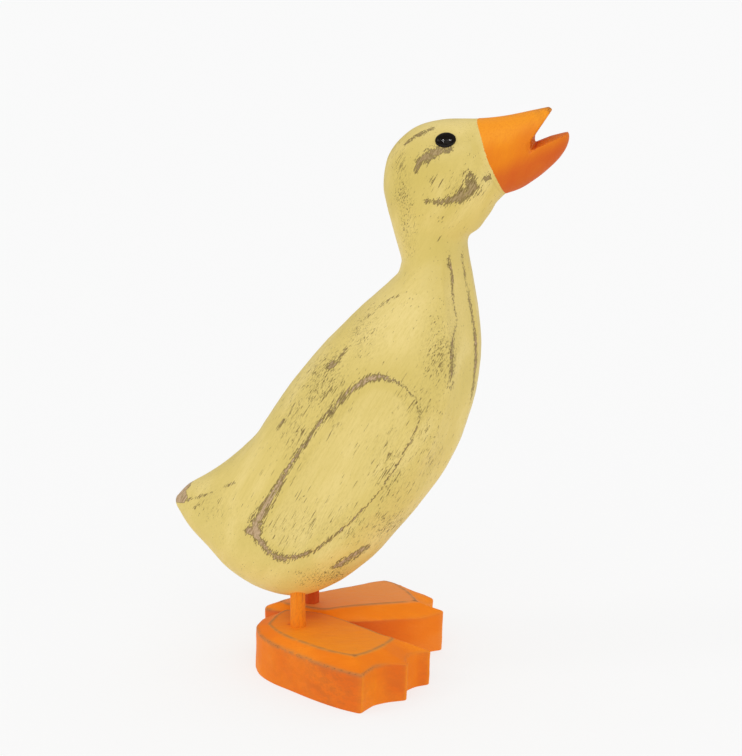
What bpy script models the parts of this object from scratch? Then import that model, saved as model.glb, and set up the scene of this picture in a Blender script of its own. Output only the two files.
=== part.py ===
"""A carved wooden duck that stands on two block feet, looking up with its bill open.

Frame: the duck faces +X, its left is +Y, up is +Z; the soles lie on z = 0 and x = 0 is about
midway between tail tip and bill tip. All lengths are in metres.
"""
import math

import bmesh
import bpy
from mathutils import Matrix, Vector
from mathutils.bvhtree import BVHTree

# ---- driving dimensions --------------------------------------------------------------------
GAP = 0.0003                # clearance that a glued joint keeps all round
LEG_X = -0.033              # the leg dowels stand behind the middle of the box
LEG_SPACING = 0.0376        # between the two leg axes
LEG_RADIUS = 0.004          # 8 mm dowel
LEG_TOP = 0.066             # dowel's upper end, inside the body
LEG_FOOT_DEPTH = 0.016      # how far the dowel goes into the foot
LEG_MIDDLE = 0.034          # clear of foot and belly: the sockets' cutters start here
NECK_DOWEL_RADIUS = 0.005   # 10 mm dowel hidden between body and head
NECK_DOWEL_HALF = 0.018     # it reaches this far to each side of the seam
NECK_DOWEL_TILT = math.radians(4)
WING_HALF_WIDTH = 0.0355    # the flat wing panels lie at this distance from the middle plane
EYE_AT = (0.0435, 0.019, 0.2853)    # near the surface of the head; y is for the left eye
EYE_LONG, EYE_HIGH = 0.0052, 0.0042  # half axes of the oval eye
EYE_PROUD, EYE_SUNK = 0.0022, 0.0016  # dome above the head's surface and disc below it
EYE_DOME_ANGLES = (25, 50, 72)      # degrees up the dome at which its rings of points lie
EYE_CUTTER_REACH = 0.01     # the socket's cutter stands this far out of the head
FOOT_HEIGHT = 0.0265        # sole to the flat top of a foot
FOOT_LEAN = 0.0007          # the walls' upper edge stands this far ahead of the sole's

# Body stations, tail to neck seam: back (x, z), belly (x, z), half width, squareness.
BODY_STATIONS = [
    ((-0.1025, 0.0890), (-0.1008, 0.0834), 0.0052, 2.2),
    ((-0.0961, 0.0957), (-0.0934, 0.0726), 0.0120, 2.2),
    ((-0.0866, 0.1014), (-0.0826, 0.0620), 0.0185, 2.2),
    ((-0.0770, 0.1082), (-0.0702, 0.0504), 0.0250, 2.3),
    ((-0.0678, 0.1157), (-0.0529, 0.0421), 0.0310, 2.4),
    ((-0.0590, 0.1248), (-0.0330, 0.0399), 0.0355, 2.5),
    ((-0.0514, 0.1357), (-0.0143, 0.0477), 0.0380, 2.5),
    ((-0.0435, 0.1478), (0.0038, 0.0618), 0.0395, 2.5),
    ((-0.0348, 0.1598), (0.0184, 0.0784), 0.0400, 2.5),
    ((-0.0247, 0.1722), (0.0321, 0.0962), 0.0400, 2.5),
    ((-0.0145, 0.1837), (0.0444, 0.1150), 0.0385, 2.4),
    ((-0.0037, 0.1945), (0.0528, 0.1357), 0.0365, 2.3),
    ((0.0054, 0.2029), (0.0582, 0.1568), 0.0345, 2.2),
    ((0.0124, 0.2094), (0.0599, 0.1780), 0.0325, 2.2),
    ((0.0171, 0.2145), (0.0583, 0.1960), 0.0295, 2.2),
    ((0.0190, 0.2195), (0.0561, 0.2100), 0.0260, 2.2),
    ((0.0189, 0.2237), (0.0531, 0.2255), 0.0215, 2.1),
]
# Two chamfers run down the breast: angle from straight ahead, and depth against the section.
BREAST_CHAMFER_ANGLE = math.radians(31)
BREAST_CHAMFER_DEPTH = 0.955
BREAST_FIRST_STATION = 9

# Head stations, neck seam to bill base, then bill stations to the tips, as above.
HEAD_STATIONS = [
    ((0.0189, 0.2240), (0.0531, 0.2258), 0.0215, 2.1),
    ((0.0153, 0.2360), (0.0533, 0.2337), 0.0210, 2.1),
    ((0.0119, 0.2480), (0.0585, 0.2385), 0.0220, 2.1),
    ((0.0099, 0.2600), (0.0618, 0.2432), 0.0235, 2.1),
    ((0.0116, 0.2730), (0.0645, 0.2473), 0.0245, 2.1),
    ((0.0179, 0.2827), (0.0667, 0.2511), 0.0245, 2.2),
    ((0.0270, 0.2896), (0.0684, 0.2531), 0.0237, 2.2),
    ((0.0385, 0.2927), (0.0700, 0.2548), 0.0222, 2.2),
    ((0.0490, 0.2934), (0.0713, 0.2560), 0.0198, 2.2),
    ((0.0570, 0.2936), (0.0724, 0.2567), 0.0172, 2.2),
    ((0.0680, 0.2947), (0.0800, 0.2599), 0.0155, 2.3),
    ((0.0785, 0.2969), (0.0885, 0.2658), 0.0138, 2.4),
    ((0.0858, 0.2987), (0.0959, 0.2724), 0.0118, 2.4),
    ((0.0908, 0.2999), (0.1010, 0.2793), 0.0090, 2.3),
    ((0.0931, 0.3003), (0.1034, 0.2863), 0.0065, 2.2),
]
BILL_FIRST_STATION = 9
# The open mouth's cut, seen from the side: upper lip, top and foot of its inner end, lower lip.
MOUTH_CUT = [(0.0950, 0.3000), (0.0848, 0.2846), (0.0848, 0.2812), (0.0930, 0.2848), (0.1045, 0.2886)]
MOUTH_CUT_REACH = 3         # the cut runs on past each lip, to this many times its length
MOUTH_CUT_HALF = 0.03       # half the cutter's width, wider than the bill

# The two feet are carved by eye and differ. Each outline runs from the heel round the outer side,
# the three toes and the inner side, measured from the leg axis ahead and from the middle plane
# outwards: wall (ahead, outwards, height), then the point of the flat top that goes with it.
FOOT_OUTLINES = {
    "right": [
        ((-0.0244, 0.0145, 0.0232), (-0.0158, 0.0180)),
        ((-0.0196, 0.0255, 0.0225), (-0.0105, 0.0258)),
        ((-0.0115, 0.0350, 0.0220), (-0.0045, 0.0325)),
        ((0.0000, 0.0438, 0.0215), (0.0050, 0.0400)),
        ((0.0185, 0.0570, 0.0212), (0.0210, 0.0500)),
        ((0.0320, 0.0647, 0.0210), (0.0305, 0.0540)),
        ((0.0426, 0.0690, 0.0210), (0.0373, 0.0562)),
        ((0.0446, 0.0635, 0.0214), (0.0400, 0.0535)),
        ((0.0474, 0.0570, 0.0218), (0.0428, 0.0502)),
        ((0.0525, 0.0525, 0.0215), (0.0450, 0.0468)),
        ((0.0630, 0.0470, 0.0196), (0.0480, 0.0412)),
        ((0.0606, 0.0405, 0.0203), (0.0500, 0.0365)),
        ((0.0610, 0.0341, 0.0203), (0.0511, 0.0330)),
        ((0.0645, 0.0285, 0.0195), (0.0520, 0.0303)),
        ((0.0716, 0.0232, 0.0186), (0.0524, 0.0280)),
        ((0.0600, 0.0170, 0.0186), (0.0460, 0.0240)),
        ((0.0470, 0.0110, 0.0195), (0.0390, 0.0187)),
        ((0.0340, 0.0050, 0.0205), (0.0300, 0.0115)),
        ((0.0210, -0.0005, 0.0220), (0.0185, 0.0035)),
        ((0.0070, -0.0050, 0.0240), (0.0063, -0.0032)),
        ((-0.0070, -0.0075, 0.0240), (-0.0050, -0.0052)),
        ((-0.0180, -0.0045, 0.0235), (-0.0115, -0.0045)),
        ((-0.0233, 0.0030, 0.0233), (-0.0142, 0.0050)),
    ],
    "left": [
        ((-0.0268, 0.0170, 0.0218), (-0.0172, 0.0175)),
        ((-0.0268, 0.0215, 0.0218), (-0.0165, 0.0200)),
        ((-0.0215, 0.0280, 0.0218), (-0.0135, 0.0232)),
        ((-0.0120, 0.0365, 0.0220), (-0.0070, 0.0300)),
        ((0.0005, 0.0460, 0.0215), (0.0035, 0.0378)),
        ((0.0170, 0.0590, 0.0212), (0.0185, 0.0505)),
        ((0.0300, 0.0675, 0.0210), (0.0280, 0.0585)),
        ((0.0403, 0.0710, 0.0208), (0.0330, 0.0612)),
        ((0.0428, 0.0655, 0.0217), (0.0365, 0.0595)),
        ((0.0465, 0.0612, 0.0222), (0.0396, 0.0570)),
        ((0.0518, 0.0575, 0.0218), (0.0425, 0.0535)),
        ((0.0622, 0.0492, 0.0214), (0.0485, 0.0445)),
        ((0.0605, 0.0425, 0.0205), (0.0510, 0.0405)),
        ((0.0615, 0.0370, 0.0205), (0.0530, 0.0365)),
        ((0.0650, 0.0320, 0.0205), (0.0545, 0.0330)),
        ((0.0711, 0.0276, 0.0226), (0.0555, 0.0303)),
        ((0.0600, 0.0205, 0.0208), (0.0480, 0.0276)),
        ((0.0465, 0.0149, 0.0210), (0.0380, 0.0237)),
        ((0.0336, 0.0103, 0.0210), (0.0265, 0.0193)),
        ((0.0225, 0.0068, 0.0213), (0.0164, 0.0143)),
        ((0.0090, 0.0063, 0.0225), (0.0076, 0.0093)),
        ((-0.0040, 0.0088, 0.0230), (-0.0040, 0.0120)),
        ((-0.0150, 0.0110, 0.0230), (-0.0120, 0.0145)),
    ],
}

BODY_STEPS, HEAD_STEPS = 3, 3   # rings per station gap
AROUND = 32                     # points on each ring
ROUND_SIDES = 24                # sides of a dowel or of its socket
SHARP_ANGLE = math.radians(35)  # edges that turn more than this are shaded as ridges

YELLOW = (0.75, 0.57, 0.20)
ORANGE = (0.83, 0.22, 0.02)
BLACK = (0.02, 0.018, 0.016)
BARE_WOOD = (0.55, 0.38, 0.22)


# ---- helpers -------------------------------------------------------------------------------
def clear_scene():
    for obj in list(bpy.data.objects):
        bpy.data.objects.remove(obj, do_unlink=True)


def material(name, colour, roughness):
    mat = bpy.data.materials.new(name)
    mat.use_nodes = True
    shader = mat.node_tree.nodes["Principled BSDF"]
    shader.inputs["Base Color"].default_value = (*colour, 1.0)
    shader.inputs["Roughness"].default_value = roughness
    shader.inputs["Metallic"].default_value = 0.0
    return mat


def add_object(name, bm, mat):
    """Makes the bmesh an object with outward faces, shaded smooth except at its ridges."""
    bmesh.ops.recalc_face_normals(bm, faces=bm.faces)
    mesh = bpy.data.meshes.new(name)
    bm.to_mesh(mesh)
    bm.free()
    mesh.shade_smooth()
    mesh.set_sharp_from_angle(angle=SHARP_ANGLE)
    obj = bpy.data.objects.new(name, mesh)
    if mat is not None:
        mesh.materials.append(mat)
    bpy.context.scene.collection.objects.link(obj)
    return obj


def cylinder(name, radius, bottom, top, mat=None):
    """A closed cylinder between two points."""
    bottom, top = Vector(bottom), Vector(top)
    bm = bmesh.new()
    bmesh.ops.create_cone(bm, cap_ends=True, segments=ROUND_SIDES, radius1=radius,
                          radius2=radius, depth=(top - bottom).length)
    turn = Vector((0, 0, 1)).rotation_difference(top - bottom).to_matrix().to_4x4()
    place = Matrix.Translation((bottom + top) / 2) @ turn
    bmesh.ops.transform(bm, matrix=place, verts=bm.verts)
    return add_object(name, bm, mat)


def cut(obj, cutter):
    """Takes the cutter's shape out of the object and hides the cutter."""
    cutter.hide_render = True
    cutter.display_type = "WIRE"
    modifier = obj.modifiers.new(cutter.name, "BOOLEAN")
    modifier.operation = "DIFFERENCE"
    modifier.solver = "EXACT"
    modifier.object = cutter


def smooth_value(values, t):
    """A Catmull-Rom curve through the values, at station number t."""
    last = len(values) - 1
    i = min(int(t), last - 1)
    f = t - i
    before, a, b, after = (values[min(max(k, 0), last)] for k in (i - 1, i, i + 1, i + 2))
    return 0.5 * (2 * a + (b - before) * f + (2 * before - 5 * a + 4 * b - after) * f * f
                  + (3 * a - before - 3 * b + after) * f ** 3)


def station_at(stations, t):
    """(back, belly, half width, squareness) at station number t."""
    columns = list(zip(*[(*back, *belly, width, power) for back, belly, width, power in stations]))
    bx, bz, fx, fz, width, power = (smooth_value(column, t) for column in columns)
    return Vector((bx, 0, bz)), Vector((fx, 0, fz)), width, power


def section(stations, t, shape=None):
    """One ring of points: a squared oval from the back round the left side to the belly."""
    back, belly, width, power = station_at(stations, t)
    middle, ahead = (back + belly) / 2, (belly - back) / 2
    depth = ahead.length
    ahead.normalize()
    ring = []
    for k in range(AROUND):
        angle = math.tau * k / AROUND
        along, across = depth * math.cos(angle), width * math.sin(angle)
        reach = math.hypot(along, across)
        c, s = along / reach, across / reach
        radius = ((abs(c) / depth) ** power + (abs(s) / width) ** power) ** (-1 / power)
        if shape:
            radius = shape(t, c, abs(s), radius, depth)
        ring.append(middle + ahead * (radius * c) + Vector((0, radius * s, 0)))
    return ring


def loft(stations, steps, shape=None):
    """A closed bmesh skin over the sections, with a flat cap at each end."""
    bm = bmesh.new()
    count = (len(stations) - 1) * steps
    rings = [[bm.verts.new(p) for p in section(stations, k / steps, shape)]
             for k in range(count + 1)]
    for low, high in zip(rings, rings[1:]):
        for k in range(AROUND):
            n = (k + 1) % AROUND
            bm.faces.new((low[k], low[n], high[n], high[k]))
    bm.faces.new(rings[0])
    bm.faces.new(rings[-1])
    return bm


# ---- parts ---------------------------------------------------------------------------------
def body_shape(t, c, s, radius, depth):
    """The body's carved flats: a wing panel on each side and two chamfers down the breast."""
    if s > 0:
        radius = min(radius, WING_HALF_WIDTH / s)
    facing = c * math.cos(BREAST_CHAMFER_ANGLE) + s * math.sin(BREAST_CHAMFER_ANGLE)
    if t > BREAST_FIRST_STATION and facing > 0:
        fade = min(1.0, t - BREAST_FIRST_STATION)
        flat = BREAST_CHAMFER_DEPTH * depth / facing
        radius += (min(radius, flat) - radius) * fade
    return radius


def make_body(mat):
    return add_object("body", loft(BODY_STATIONS, BODY_STEPS, body_shape), mat)


def mouth_cutter():
    """The wedge that opens the bill: a prism across it, with a blunt inner end."""
    upper, top, foot, middle, lower = (Vector((x, 0, z)) for x, z in MOUTH_CUT)
    outline = [top + MOUTH_CUT_REACH * (upper - top), top, foot, middle,
               middle + MOUTH_CUT_REACH * (lower - middle)]
    side = Vector((0, MOUTH_CUT_HALF, 0))
    bm = bmesh.new()
    near, far = ([bm.verts.new(p + shift) for p in outline] for shift in (-side, side))
    for k in range(len(outline)):
        n = (k + 1) % len(outline)
        bm.faces.new((near[k], near[n], far[n], far[k]))
    bm.faces.new(near)
    bm.faces.new(far)
    return add_object("mouth_wedge", bm, None)


def make_head(mat, bill_mat):
    """Head and bill in one piece, with a wedge cut out for the open mouth."""
    head = add_object("head", loft(HEAD_STATIONS, HEAD_STEPS), mat)
    head.data.materials.append(bill_mat)
    for number, face in enumerate(head.data.polygons):
        if number // AROUND >= BILL_FIRST_STATION * HEAD_STEPS:
            face.material_index = 1
    cut(head, mouth_cutter())
    return head


def make_neck_dowel(body, head, mat):
    """The hidden dowel that joins head to body, square to the seam."""
    back, belly, _, _ = BODY_STATIONS[-1]
    seam = Vector(((back[0] + belly[0]) / 2, 0, (back[1] + belly[1]) / 2))
    along = Vector((-math.sin(NECK_DOWEL_TILT), 0, math.cos(NECK_DOWEL_TILT)))
    half = along * NECK_DOWEL_HALF
    cylinder("neck_dowel", NECK_DOWEL_RADIUS, seam - half, seam + half, mat)
    half += along * GAP
    socket = cylinder("neck_socket", NECK_DOWEL_RADIUS + GAP, seam - half, seam + half)
    cut(body, socket)
    cut(head, socket)


def make_eye(side, head, mat):
    """An oval bead, domed outside and flat behind, glued into a shallow socket."""
    name = "left" if side > 0 else "right"
    tree = BVHTree.FromObject(head, bpy.context.evaluated_depsgraph_get())
    at, normal, _, _ = tree.find_nearest(Vector((EYE_AT[0], side * EYE_AT[1], EYE_AT[2])))
    ahead = (Vector((1, 0, 0)) - normal * normal.x).normalized()
    frame = Matrix((ahead, normal.cross(ahead), normal)).transposed().to_4x4()
    place = Matrix.Translation(at) @ frame
    bm = bmesh.new()
    rows = [(1.0, -EYE_SUNK), (1.0, 0.0)]
    rows += [(math.cos(a), EYE_PROUD * math.sin(a)) for a in map(math.radians, EYE_DOME_ANGLES)]
    rings = [[bm.verts.new((EYE_LONG * r * math.cos(math.tau * k / ROUND_SIDES),
                            EYE_HIGH * r * math.sin(math.tau * k / ROUND_SIDES), z))
              for k in range(ROUND_SIDES)] for r, z in rows]
    for low, high in zip(rings, rings[1:]):
        for k in range(ROUND_SIDES):
            n = (k + 1) % ROUND_SIDES
            bm.faces.new((low[k], low[n], high[n], high[k]))
    bm.faces.new(rings[0])
    bm.faces.new(rings[-1])
    bmesh.ops.transform(bm, matrix=place, verts=bm.verts)
    add_object(f"eye_{name}", bm, mat)
    socket = cylinder(f"eye_socket_{name}", 1.0, (0, 0, -EYE_SUNK - GAP), (0, 0, EYE_CUTTER_REACH))
    shape = Matrix.Diagonal((EYE_LONG + GAP, EYE_HIGH + GAP, 1, 1))
    socket.data.transform(place @ shape)
    cut(head, socket)


def make_foot(side, mat):
    """A thick block: upright walls, three toes, and a chamfer up to a flat top."""
    name = "left" if side > 0 else "right"
    bm = bmesh.new()
    sole, wall, top = [], [], []
    for (ahead, out, height), (top_ahead, top_out) in FOOT_OUTLINES[name]:
        sole.append(bm.verts.new((LEG_X + ahead, side * out, 0)))
        wall.append(bm.verts.new((LEG_X + ahead + FOOT_LEAN, side * out, height)))
        top.append(bm.verts.new((LEG_X + top_ahead, side * top_out, FOOT_HEIGHT)))
    for low, high in ((sole, wall), (wall, top)):
        for k in range(len(low)):
            n = (k + 1) % len(low)
            bm.faces.new((low[k], low[n], high[n], high[k]))
    bm.faces.new(sole)
    bm.faces.new(top)
    return add_object(f"foot_{name}", bm, mat)


def make_leg(side, body, foot, mat):
    """An 8 mm dowel, glued into the foot's flat top and up into the belly."""
    name = "left" if side > 0 else "right"
    y = side * LEG_SPACING / 2
    bottom = FOOT_HEIGHT - LEG_FOOT_DEPTH
    cylinder(f"leg_{name}", LEG_RADIUS, (LEG_X, y, bottom), (LEG_X, y, LEG_TOP), mat)
    for host, place, end in ((body, "leg", LEG_TOP + GAP), (foot, "foot", bottom - GAP)):
        cut(host, cylinder(f"{place}_socket_{name}", LEG_RADIUS + GAP,
                           (LEG_X, y, LEG_MIDDLE), (LEG_X, y, end)))


def main():
    clear_scene()
    yellow = material("yellow_paint", YELLOW, 0.5)
    orange = material("orange_paint", ORANGE, 0.45)
    black = material("black_gloss", BLACK, 0.12)
    wood = material("bare_wood", BARE_WOOD, 0.7)
    body = make_body(yellow)
    head = make_head(yellow, orange)
    for side in (1, -1):
        make_eye(side, head, black)
        make_leg(side, body, make_foot(side, orange), orange)
    make_neck_dowel(body, head, wood)


main()
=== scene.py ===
"""Looks for the carved wooden duck: its painted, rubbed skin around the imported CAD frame.

Frame: the duck faces +X, its left is +Y, up is +Z, and the soles lie on z = 0. Lengths are in
metres, but in tenths of a millimetre in the tables of stations and foot outlines, which repeat the
ones that the CAD part is built from.
"""
import math

import bmesh
import bpy
import numpy as np
from mathutils import Matrix, Vector
from mathutils.bvhtree import BVHTree


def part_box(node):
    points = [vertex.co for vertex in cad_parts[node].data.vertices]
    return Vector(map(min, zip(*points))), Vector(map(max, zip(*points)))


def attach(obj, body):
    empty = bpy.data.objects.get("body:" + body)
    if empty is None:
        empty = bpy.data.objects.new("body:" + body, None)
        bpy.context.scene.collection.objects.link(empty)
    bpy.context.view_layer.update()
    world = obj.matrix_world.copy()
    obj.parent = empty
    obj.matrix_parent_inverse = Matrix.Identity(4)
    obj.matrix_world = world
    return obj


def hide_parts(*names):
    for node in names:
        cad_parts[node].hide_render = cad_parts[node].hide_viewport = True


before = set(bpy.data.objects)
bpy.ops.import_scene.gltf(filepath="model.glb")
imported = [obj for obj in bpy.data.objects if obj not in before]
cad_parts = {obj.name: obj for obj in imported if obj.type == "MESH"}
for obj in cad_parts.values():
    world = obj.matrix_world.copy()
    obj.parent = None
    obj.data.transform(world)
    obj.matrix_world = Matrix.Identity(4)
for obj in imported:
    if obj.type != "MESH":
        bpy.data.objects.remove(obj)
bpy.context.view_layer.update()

# ---- shape ----
LEG_X = -0.033
LEG_SPACING = 0.0376
LEG_RADIUS = 0.004
FOOT_HEIGHT = 0.0265
FOOT_LEAN = 0.0007          # the walls' upper edge stands this far ahead of the sole's
WING_HALF_WIDTH = 0.0355
EYE_AT = (0.0435, 0.019, 0.2853)
EYE_LONG, EYE_HIGH, EYE_PROUD, EYE_SUNK = 0.0052, 0.0042, 0.0022, 0.0016
EYE_TILT = math.radians(11)
TENTHS = 10000              # tenths of a millimetre in a metre

# Stations from the tail tip to the bill tips: back (x, z), belly (x, z), half width, squareness.
STATIONS = [
    (-1025, 890, -1008, 834, 52, 2.2),
    (-961, 957, -934, 726, 120, 2.2),
    (-866, 1014, -826, 620, 185, 2.2),
    (-770, 1082, -702, 504, 250, 2.3),
    (-678, 1157, -529, 421, 310, 2.4),
    (-590, 1248, -330, 399, 355, 2.5),
    (-514, 1357, -143, 477, 380, 2.5),
    (-435, 1478, 38, 618, 395, 2.5),
    (-348, 1598, 184, 784, 400, 2.5),
    (-247, 1722, 321, 962, 400, 2.5),
    (-145, 1837, 444, 1150, 385, 2.4),
    (-37, 1945, 528, 1357, 365, 2.3),
    (54, 2029, 582, 1568, 345, 2.2),
    (124, 2094, 599, 1780, 325, 2.2),
    (171, 2145, 583, 1960, 295, 2.2),
    (190, 2195, 561, 2100, 260, 2.2),
    (189, 2237, 531, 2255, 215, 2.1),
    (153, 2360, 533, 2337, 210, 2.1),
    (119, 2480, 585, 2385, 220, 2.1),
    (99, 2600, 618, 2432, 235, 2.1),
    (116, 2730, 645, 2473, 245, 2.1),
    (179, 2827, 667, 2511, 245, 2.2),
    (270, 2896, 684, 2531, 237, 2.2),
    (385, 2927, 700, 2548, 222, 2.2),
    (490, 2934, 713, 2560, 198, 2.2),
    (570, 2936, 724, 2567, 172, 2.2),
    (680, 2947, 800, 2599, 155, 2.3),
    (785, 2969, 885, 2658, 138, 2.4),
    (858, 2987, 959, 2724, 118, 2.4),
    (908, 2999, 1010, 2793, 90, 2.3),
    (931, 3003, 1034, 2863, 65, 2.2),
]
NECK_SEAM, BILL_BASE, HEAD_END, BILL_END = 16, 25, 26, 30    # station numbers
BREAST_FIRST_STATION = 9
BREAST_CHAMFER_ANGLE = math.radians(31)
BREAST_CHAMFER_DEPTH = 0.955            # as a share of the half depth
RINGS_PER_STATION = 15
BODY_AROUND, BILL_AROUND = 288, 160
BREAST_CHAMFER_FADE = (14.6, 17.2)      # station numbers between which it runs out
TAIL_ROUNDING = 0.0010
TAIL_GAP = 0.0095           # about the distance between the first two stations
HEAD_UNDER_BILL = 0.0006    # how much slimmer the head is where the bill covers it
FRONT_LINE_Y = 0.0085       # a rubbed line runs down the breast on each side of the middle
FRONT_LINE_REACH = 0.0010
FRONT_STRIP_Y = 0.0165      # and no other edge wears this near the middle
TAIL_BARE_X, TAIL_BARE_Z = -0.0940, 0.0870     # the tip is rubbed bare behind and above these
PAINT_EDGE = 0.00012        # the bill's paint stands this proud of the head's
# The mouth's cut, seen from the side: upper lip, top and foot of its inner end, lower lip.
MOUTH_CUT = [(0.0950, 0.3000), (0.0848, 0.2846), (0.0848, 0.2812), (0.0930, 0.2848),
             (0.1045, 0.2886)]
MOUTH_CUT_REACH = 3         # the cut runs on past each lip, to this many times its length
MOUTH_CUT_HALF = 0.03       # half the cutter's width, wider than the bill
MOUTH_LEAN = 0.05           # how much higher the cut's lower side is per metre to the left
MOUTH_CAMBER = 0.06         # slope of the cut down to each side
MOUTH_GROOVE = (0.0849, 0.2816)         # (x, z) of a gouge's cut at the mouth's corner
GOUGE_SIZE = (0.0026, 0.0026, 0.0043)   # its half axes
GOUGE_OUT = 0.0017          # its middle stands this far out of the cheek
BILL_ROUNDING = 0.0022      # of the bill's front end
BILL_GAP = 0.0045           # about the distance between the last two stations
BILL_TIPS = [(0.0915, 0.0, 0.2980), (0.1020, 0.0, 0.2865)]      # where they are rubbed
BILL_ROWS = 96
BILL_VOXEL = 0.0004

# Each foot: wall (ahead of the leg, outwards, height), then the flat top's point (ahead, outwards).
FOOT_OUTLINES = {
    "right": [
        (-244, 145, 232, -158, 180), (-196, 255, 225, -105, 258), (-115, 350, 220, -45, 325),
        (0, 438, 215, 50, 400), (185, 570, 212, 210, 500), (320, 647, 210, 305, 540),
        (426, 690, 210, 373, 562), (446, 635, 214, 400, 535), (474, 570, 218, 428, 502),
        (525, 525, 215, 450, 468), (630, 470, 196, 480, 412), (606, 405, 203, 500, 365),
        (610, 341, 203, 511, 330), (645, 285, 195, 520, 303), (716, 232, 186, 524, 280),
        (600, 170, 186, 460, 240), (470, 110, 195, 390, 187), (340, 50, 205, 300, 115),
        (210, -5, 220, 185, 35), (70, -50, 240, 63, -32), (-70, -75, 240, -50, -52),
        (-180, -45, 235, -115, -45), (-233, 30, 233, -142, 50),
    ],
    "left": [
        (-268, 170, 218, -172, 175), (-268, 215, 218, -165, 200), (-215, 280, 218, -135, 232),
        (-120, 365, 220, -70, 300), (5, 460, 215, 35, 378), (170, 590, 212, 185, 505),
        (300, 675, 210, 280, 585), (403, 710, 208, 330, 612), (428, 655, 217, 365, 595),
        (465, 612, 222, 396, 570), (518, 575, 218, 425, 535), (622, 492, 214, 485, 445),
        (605, 425, 205, 510, 405), (615, 370, 205, 530, 365), (650, 320, 205, 545, 330),
        (711, 276, 226, 555, 303), (600, 205, 208, 480, 276), (465, 149, 210, 380, 237),
        (336, 103, 210, 265, 193), (225, 68, 213, 164, 143), (90, 63, 225, 76, 93),
        (-40, 88, 230, -40, 120), (-150, 110, 230, -120, 145),
    ],
}
FOOT_SPACING = 0.0008       # between the points of a foot's finished outline
FOOT_CORNER = math.radians(24)   # an outline turns smoothly below this angle
FOOT_EDGE = 0.0009          # rounding of a foot's edges

# The raised wing panel's outline, seen from the side (x, z), with how far the rubbed band on its
# edge reaches to each side and how bare it is.
WING = [
    (0.004, 0.164, 0.0017, 0.9), (0.015, 0.1675, 0.0014, 0.84),
    (0.0265, 0.1625, 0.0007, 0.42), (0.0335, 0.153, 0.0009, 0.36),
    (0.0315, 0.14, 0.0006, 0.52), (0.0145, 0.1095, 0.0006, 0.66),
    (-0.006, 0.0865, 0.0008, 0.68), (-0.0225, 0.0735, 0.0013, 0.74),
    (-0.0385, 0.0692, 0.0022, 0.95), (-0.047, 0.0752, 0.002, 0.95),
    (-0.0515, 0.0835, 0.0029, 1.15), (-0.0455, 0.0975, 0.0021, 1.15),
    (-0.026, 0.1295, 0.0013, 0.8), (-0.009, 0.152, 0.0017, 0.74),
]
WING_RELIEF = 0.0008
WING_EDGE = 0.0014
WING_FLANK = (0.018, 0.026)     # how far out the panel begins, and where it is in full
WEAR_FALLOFF = 0.7          # wear falls off with exp(-WEAR_FALLOFF * (distance / reach) ** 2)
# Rubbed strokes (x, z, reach, bareness), seen from the side.
STROKES = [
    [(-0.056, 0.0816, 0.0016, 1.5), (-0.0515, 0.0832, 0.0032, 1.7)],
    [(-0.0145, 0.1695, 0.001, 0.8), (-0.0125, 0.1706, 0.0016, 0.9), (-0.0085, 0.1745, 0.001, 0.6),
     (-0.0045, 0.18, 0.0008, 0.5)],
    [(-0.0415, 0.1355, 0.0005, 0.6), (-0.0368, 0.1415, 0.0007, 0.8)],
    [(0.0255, 0.2095, 0.0004, 0.4), (0.0225, 0.208, 0.0005, 0.48), (0.0147, 0.2034, 0.0006, 0.42),
     (0.0038, 0.194, 0.0007, 0.36)],
    [(-0.012, 0.0634, 0.001, 0.8), (-0.0075, 0.0662, 0.0017, 1.0), (0.0015, 0.0722, 0.0017, 0.95),
     (0.0062, 0.0758, 0.0008, 0.6)],
    [(0.045, 0.2808, 0.0018, 0.85), (0.0378, 0.2787, 0.0023, 1.0), (0.0308, 0.2738, 0.0016, 1.0),
     (0.0291, 0.2697, 0.001, 0.8)],
    [(0.035, 0.255, 0.001, 0.6), (0.0435, 0.2553, 0.0018, 0.85), (0.0513, 0.2577, 0.0026, 1.05),
     (0.0572, 0.2615, 0.0028, 0.92), (0.0562, 0.2655, 0.0028, 0.78), (0.055, 0.2692, 0.0018, 0.6)],
    [(0.0637, 0.2664, 0.0011, 0.8), (0.0654, 0.2669, 0.0012, 0.8)],
    [(0.0222, 0.2815, 0.0007, 0.55), (0.0265, 0.285, 0.0006, 0.6), (0.031, 0.2875, 0.0008, 0.75),
     (0.0365, 0.29, 0.0006, 0.6)],
    [(-0.095, 0.0898, 0.0005, 0.8), (-0.0905, 0.092, 0.0006, 0.6), (-0.084, 0.0948, 0.0006, 0.6),
     (-0.078, 0.098, 0.0005, 0.5)],
    [(-0.0895, 0.087, 0.0005, 0.6), (-0.085, 0.0905, 0.0004, 0.5)],
    [(-0.072, 0.1015, 0.0006, 0.5), (-0.064, 0.1058, 0.0005, 0.55)],
]
# The rubbed ridge down each side of the breast, from below upwards, in the same columns.
RIDGE = [
    (0.0488, 0.16, 0.0008, 0.3), (0.0488, 0.164, 0.0009, 0.48), (0.0487, 0.175, 0.0012, 0.58),
    (0.0491, 0.186, 0.0007, 0.48), (0.0502, 0.1945, 0.0004, 0.5), (0.0486, 0.203, 0.0004, 0.62),
    (0.0474, 0.215, 0.0006, 0.72), (0.0473, 0.2195, 0.0011, 0.8), (0.0469, 0.224, 0.0016, 0.84),
    (0.0465, 0.2275, 0.0009, 0.5),
]
RIDGE_NEAR = 0.005          # nearer to the ridge than this, no other edge wears
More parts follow.
